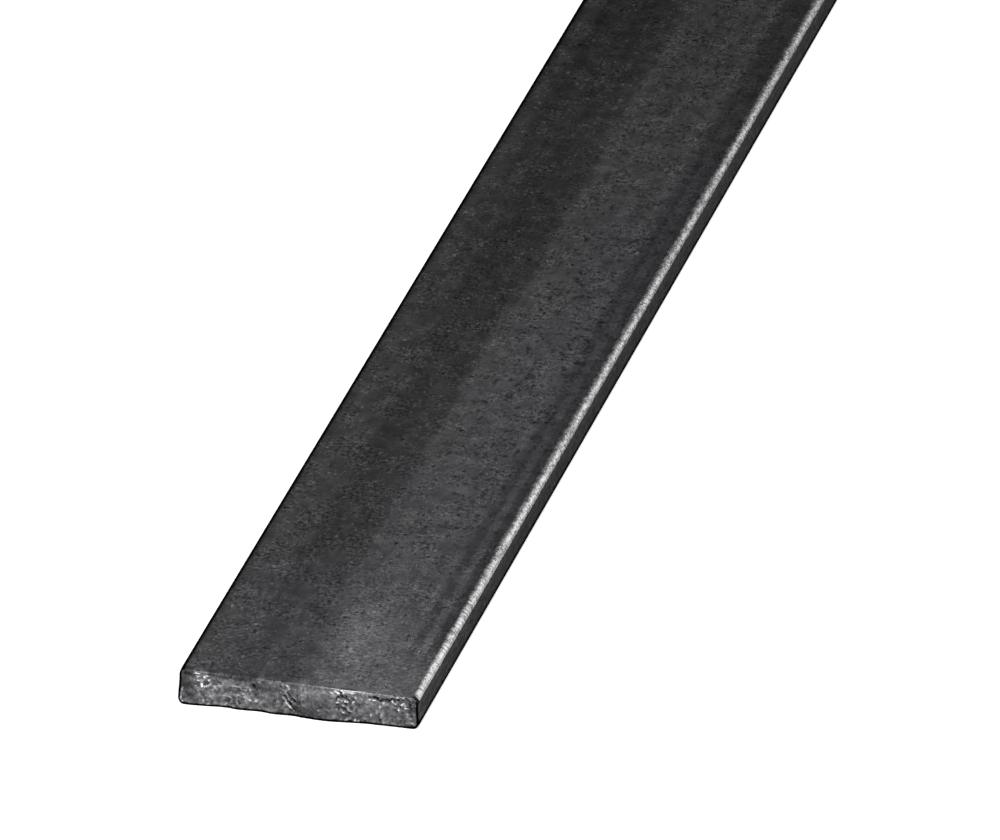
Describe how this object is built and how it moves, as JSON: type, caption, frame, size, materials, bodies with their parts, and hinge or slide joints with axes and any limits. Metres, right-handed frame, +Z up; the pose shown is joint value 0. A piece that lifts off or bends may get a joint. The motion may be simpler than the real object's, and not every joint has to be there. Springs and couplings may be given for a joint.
{
  "type": "flat bar",
  "caption": "Hot-rolled mild steel flat bar with rounded long edges, a dark mill-scale skin and rough sheared ends, ready to cut, drill, weld or bolt.",
  "frame": {"origin": "middle of the underside, which is the face the bar lies on", "axes": "+X across the width, +Y along the length away from the near sheared end, +Z up through the thickness"},
  "size_m": [0.04, 1.0013, 0.006],
  "materials": {
    "mill_scale_steel": "dark blue-grey mill scale, satin, with grey torn steel at the sheared ends"
  },
  "bodies": {
    "root": {"flat_bar": "mill_scale_steel"}
  },
  "joints": []
}
